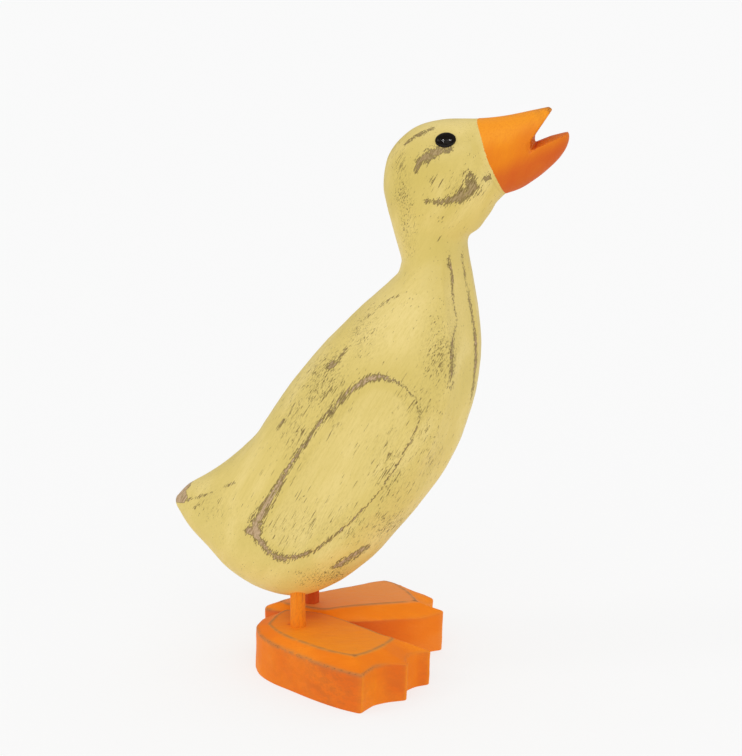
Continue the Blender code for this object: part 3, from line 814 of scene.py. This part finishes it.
class Shader:
    """A material whose nodes are added by short calls, most of which return an output socket."""

    def __init__(self, name):
        self.material = bpy.data.materials.new(name)
        self.material.use_nodes = True
        self.nodes = self.material.node_tree.nodes
        self.links = self.material.node_tree.links
        self.surface = self.nodes["Principled BSDF"]

    def put(self, socket, value):
        if isinstance(value, bpy.types.NodeSocket):
            self.links.new(value, socket)
        else:
            socket.default_value = value

    def surface_input(self, name, value):
        self.put(self.surface.inputs[name], value)

    def attribute(self, name):
        node = self.nodes.new("ShaderNodeAttribute")
        node.attribute_name = name
        return node.outputs["Fac"]

    def grain(self, tilt, across, along):
        """Object coordinates turned to the grain, in units of a feature's size across and along."""
        where = self.nodes.new("ShaderNodeTexCoord")
        node = self.nodes.new("ShaderNodeMapping")
        node.vector_type = "TEXTURE"
        node.inputs["Rotation"].default_value = (0, tilt, 0)
        node.inputs["Scale"].default_value = (across, across, along)
        self.links.new(where.outputs["Object"], node.inputs["Vector"])
        return node.outputs["Vector"]

    def noise(self, where, detail, roughness=0.5):
        node = self.nodes.new("ShaderNodeTexNoise")
        self.links.new(where, node.inputs["Vector"])
        node.inputs["Scale"].default_value = 1.0
        node.inputs["Detail"].default_value = detail
        node.inputs["Roughness"].default_value = roughness
        return node.outputs["Fac"]

    def facets(self, where):
        """Knife facets: lowest in the middle of each cut, rising to a ridge where two cuts meet."""
        node = self.nodes.new("ShaderNodeTexVoronoi")
        self.links.new(where, node.inputs["Vector"])
        node.inputs["Scale"].default_value = 1.0
        return node.outputs["Distance"]

    def math(self, operation, a, b=0.0, c=0.0):
        node = self.nodes.new("ShaderNodeMath")
        node.operation = operation
        for socket, value in zip(node.inputs, (a, b, c)):
            self.put(socket, value)
        return node.outputs[0]

    def times(self, a, b):
        return self.math("MULTIPLY", a, b)

    def between(self, value, low, high):
        """0 below low, 1 above high, smooth between."""
        node = self.nodes.new("ShaderNodeMapRange")
        node.interpolation_type = "SMOOTHSTEP"
        for name, number in (("Value", value), ("From Min", low), ("From Max", high)):
            self.put(node.inputs[name], number)
        return node.outputs["Result"]

    def mix(self, factor, a, b):
        node = self.nodes.new("ShaderNodeMix")
        node.data_type = "RGBA"
        self.put(node.inputs["Factor"], factor)
        self.put(node.inputs[6], a)
        self.put(node.inputs[7], b)
        return node.outputs[2]

    def tint(self, colour, other, mask, amount):
        """The colour with another laid over it where the mask says, at most by this amount."""
        return self.mix(self.times(mask, amount), colour, other)

    def bump(self, height):
        """Bump from a height in metres."""
        node = self.nodes.new("ShaderNodeBump")
        node.inputs["Strength"].default_value = 1.0
        node.inputs["Distance"].default_value = 1.0
        self.put(node.inputs["Height"], height)
        self.links.new(node.outputs["Normal"], self.surface.inputs["Normal"])


def painted_wood(name, tilt, streak, plain, pale, deep, fleck, stain, wood, dark_wood, gloss, matt,
                 cloudy, fleck_level):
    """Old brushed paint on wood: uneven colour, flecks along the grain, rubbed through to wood,
    with painted light and shade.
    """
    s = Shader(name)
    cloud = s.noise(s.grain(tilt, 0.015, 0.040), 2.0)
    brush = s.noise(s.grain(tilt, 0.0007, 0.012), 3.0)
    ragged = s.noise(s.grain(tilt, 0.00055, streak), 2.0, 0.45)
    patch = s.noise(s.grain(tilt, 0.003, 0.009), 3.0)
    splits = s.noise(s.grain(tilt, 0.00045, 0.0085), 2.0, 0.4)
    dots = s.noise(s.grain(tilt, 0.0006, 0.0020), 2.0)

    colour = s.mix(s.between(cloud, 0.35, 0.65), deep, plain)
    colour = s.tint(colour, pale, s.between(cloud, 0.50, 0.75), cloudy)
    # Painted highlight: paler where the mesh's numbers say, mostly on lit tops and faces that catch
    # the light, in places paler paint.
    colour = s.mix(s.attribute("pale"), colour, pale)
    colour = s.tint(colour, deep, s.between(brush, 0.42, 0.75), 0.45)
    colour = s.tint(colour, deep, s.between(dots, 0.48, 0.70), 0.25)
    # Painted light and shade: the colour laid on here stands in for shade in hollows and gaps and
    # for warm bounce under the belly, with some real stains.
    colour = s.tint(colour, stain, s.attribute("stain"), 0.75)
    smear = s.times(s.between(s.math("ADD", patch, s.times(dots, 0.4)), 0.55, 0.85), 0.6)
    colour = s.tint(colour, fleck, s.attribute("rub"), smear)
    mottled = s.times(s.between(dots, 0.45, 0.62), 0.28)
    colour = s.tint(colour, fleck, s.attribute("scuff"), mottled)
    grime = s.times(s.attribute("grime"), s.between(patch, 0.19, 0.54))
    colour = s.tint(colour, dark_wood, grime, 0.9)

    density = s.math("ADD", s.times(s.attribute("scuff"), 0.16),
                     s.times(s.between(patch, 0.40, 0.75), 0.08))
    speck = s.math("MAXIMUM", splits, s.math("SUBTRACT", dots, 0.045))
    over = s.math("SUBTRACT", s.math("ADD", speck, density), fleck_level)
    flecks = s.between(over, 0.0, 0.05)
    colour = s.tint(colour, fleck, flecks, 0.8)

    across = s.attribute("edge")
    falloff = s.math("EXPONENT", s.times(s.times(across, across), -WEAR_FALLOFF))
    wear = s.math("MAXIMUM", s.attribute("wear"), s.times(falloff, s.attribute("edge_bare")))
    worn = s.between(wear, 0.04, 0.20)
    uneven = s.math("SUBTRACT", patch, 0.5)
    rubbed = s.math("MULTIPLY_ADD", s.math("SUBTRACT", ragged, 0.5), 2.4, wear)
    rubbed = s.math("MULTIPLY_ADD", uneven, 0.9, rubbed)
    dark = s.times(s.between(rubbed, 0.38, 0.50), worn)
    bare = s.times(s.between(rubbed, 0.78, 0.94), worn)
    colour = s.tint(colour, fleck, dark, 0.80)
    wood_colour = s.mix(s.between(brush, 0.40, 0.72), wood, dark_wood)
    colour = s.mix(bare, colour, wood_colour)
    s.surface_input("Base Color", colour)

    s.surface_input("Specular IOR Level", gloss)
    rough = s.math("MULTIPLY_ADD", bare, 0.25, matt)
    s.surface_input("Roughness", s.math("MULTIPLY_ADD", uneven, 0.15, rough))
    height = s.times(brush, 0.00009)
    height = s.math("MULTIPLY_ADD", flecks, -0.00008, height)
    height = s.math("MULTIPLY_ADD", dark, -0.00010, height)
    height = s.math("MULTIPLY_ADD", patch, 0.00022, height)
    cuts = s.facets(s.grain(tilt, 0.0045, 0.009))
    cut_depth = s.math("MULTIPLY_ADD", s.attribute("scuff"), 0.00030, 0.00012)
    height = s.math("MULTIPLY_ADD", cuts, cut_depth, height)
    s.bump(height)
    return s.material


def bare_wood():
    """Plain turned dowel wood: fine lines along the grain."""
    s = Shader("bare_dowel_wood")
    line = s.noise(s.grain(0.0, 0.0006, 0.020), 3.0)
    cloud = s.noise(s.grain(0.0, 0.004, 0.030), 2.0)
    colour = s.mix(s.between(line, 0.35, 0.7), srgb(205, 170, 120), srgb(165, 125, 80))
    s.surface_input("Base Color", s.tint(colour, srgb(190, 150, 100), cloud, 0.3))
    s.surface_input("Roughness", s.math("MULTIPLY_ADD", line, 0.2, 0.6))
    s.bump(s.times(line, 0.00006))
    return s.material


def glossy_black():
    """Lacquered black bead with faint dust and a slightly uneven gloss."""
    s = Shader("glossy_black_bead")
    dust = s.noise(s.grain(0.0, 0.0007, 0.0007), 3.0)
    colour = s.mix(s.between(dust, 0.5, 0.8), srgb(14, 8, 4), srgb(40, 30, 22))
    s.surface_input("Base Color", colour)
    s.surface_input("Roughness", s.math("MULTIPLY_ADD", dust, 0.10, 0.05))
    s.surface_input("Specular IOR Level", 0.2)
    s.bump(s.times(s.noise(s.grain(0.3, 0.0016, 0.0016), 2.0), 0.00018))
    return s.material


def yellow_paint(name, streak, wood, dark_wood):
    # The warm colour laid under the belly is painted light, the glow that the orange feet throw up;
    # the paler colour also serves as a painted highlight.
    return painted_wood(
        name, math.radians(30), streak, plain=srgb(222, 198, 113), pale=srgb(231, 209, 134),
        deep=srgb(211, 188, 99), fleck=srgb(112, 90, 48), stain=srgb(255, 208, 104), wood=wood,
        dark_wood=dark_wood, gloss=0.30, matt=0.50, cloudy=0.7, fleck_level=0.735)


def orange_paint(name, tilt, plain, pale, deep):
    # The deep red laid on by the mesh's numbers is mostly painted shade: in the gap between the
    # feet, on their outer walls, beside the legs, on the far leg and in the mouth's corner gouges;
    # it also deepens the lower bill.
    return painted_wood(
        name, tilt, 0.0070, plain=plain, pale=pale, deep=deep, fleck=srgb(150, 88, 44),
        stain=srgb(196, 54, 32), wood=srgb(192, 150, 98), dark_wood=srgb(156, 120, 76),
        gloss=0.16, matt=0.60, cloudy=0.2, fleck_level=0.80)


# ---- studio ----
def make_floor():
    half = FLOOR_SIZE / 2
    mesh = bpy.data.meshes.new("floor")
    mesh.from_pydata([(-half, -half, 0), (half, -half, 0), (half, half, 0), (-half, half, 0)],
                     [], [(0, 1, 2, 3)])
    floor = bpy.data.objects.new("floor", mesh)
    bpy.context.scene.collection.objects.link(floor)
    s = Shader("pale_floor")
    s.surface_input("Base Color", (FLOOR_GREY, FLOOR_GREY, FLOOR_GREY, 1.0))
    s.surface_input("Roughness", 0.9)
    s.surface_input("Specular IOR Level", 0.0)
    s.surface_input("Emission Color", (1.0, 1.0, 1.0, 1.0))
    s.surface_input("Emission Strength", FLOOR_GLOW)
    mesh.materials.append(s.material)


def soft_sun(name, toward, spread, strength):
    """An even light from this direction, softened over an angle of spread degrees."""
    data = bpy.data.lights.new(name, "SUN")
    data.angle = math.radians(spread)
    data.energy = strength
    light = bpy.data.objects.new(name, data)
    light.rotation_euler = Vector(toward).to_track_quat("Z", "Y").to_euler()
    bpy.context.scene.collection.objects.link(light)
    return light


def make_studio():
    world = bpy.data.worlds.new("white_room")
    world.use_nodes = True
    nodes, links = world.node_tree.nodes, world.node_tree.links
    background = nodes["Background"]
    background.inputs["Color"].default_value = (1.0, 1.0, 1.0, 1.0)
    rays = nodes.new("ShaderNodeLightPath")
    seen, reflected = (nodes.new("ShaderNodeMath") for _ in range(2))
    for node, ray, change in ((seen, "Is Camera Ray", WALL_SEEN),
                              (reflected, "Is Glossy Ray", WALL_REFLECTED)):
        node.operation = "MULTIPLY_ADD"
        links.new(rays.outputs[ray], node.inputs[0])
        node.inputs[1].default_value = change
    seen.inputs[2].default_value = WALL_GLOW
    links.new(seen.outputs[0], reflected.inputs[2])
    links.new(reflected.outputs[0], background.inputs["Strength"])
    bpy.context.scene.world = world
    for name, toward, spread, strength in SOFTBOXES:
        soft_sun(name, toward, spread, strength)
    for name, toward, strength in CATCH_LIGHTS:
        soft_sun(name, toward, CATCH_LIGHT_SPREAD, strength).visible_diffuse = False
    bpy.context.scene.view_settings.view_transform = "Standard"


def make_camera():
    away = Vector((math.cos(CAMERA_RISE) * math.sin(CAMERA_YAW),
                   -math.cos(CAMERA_RISE) * math.cos(CAMERA_YAW), math.sin(CAMERA_RISE)))
    data = bpy.data.cameras.new("camera")
    data.lens = CAMERA_LENS
    data.sensor_width = CAMERA_SENSOR
    camera = bpy.data.objects.new("camera", data)
    camera.location = CAMERA_TARGET + away * CAMERA_DISTANCE
    camera.rotation_euler = away.to_track_quat("Z", "Y").to_euler()
    bpy.context.scene.collection.objects.link(camera)
    bpy.context.scene.camera = camera


def main():
    make_camera()
    make_studio()
    make_floor()
    yellow_body = yellow_paint("rubbed_yellow_paint_body", 0.0070, srgb(196, 167, 131),
                               srgb(150, 121, 82))
    yellow_head = yellow_paint("rubbed_yellow_paint_head", 0.0028, srgb(174, 149, 102),
                               srgb(140, 113, 72))
    foot_colours = srgb(243, 132, 10), srgb(242, 148, 32), srgb(236, 122, 8)
    # The far foot's paint is brighter than the near one's, standing in for the light that reaches
    # it, and its paler top colour is greyed towards pink: painted sheen along with dust.
    far_foot_colours = srgb(252, 143, 12), srgb(238, 155, 86), srgb(246, 134, 10)
    bill_colours = srgb(240, 144, 10), srgb(246, 157, 26), srgb(231, 127, 10)
    orange_upright = orange_paint("rubbed_orange_paint_upright", 0.0, *foot_colours)
    orange_level = orange_paint("rubbed_orange_paint_level", math.radians(90), *foot_colours)
    orange_dust_and_sheen = orange_paint("rubbed_orange_paint_dust_and_sheen", math.radians(90), *far_foot_colours)
    orange_bill = orange_paint("rubbed_orange_paint_bill", math.radians(20), *bill_colours)
    black = glossy_black()
    head = make_body_and_head(yellow_body, yellow_head)
    make_bill(orange_bill)
    for side in (1, -1):
        make_eye(side, head, black)
        make_leg(side, orange_upright)
        make_foot(side, orange_dust_and_sheen if side > 0 else orange_level)
    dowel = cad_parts["neck_dowel"]
    dowel.data.materials.clear()
    dowel.data.materials.append(bare_wood())
    for slot in dowel.material_slots:
        slot.material = dowel.data.materials[0]


main()
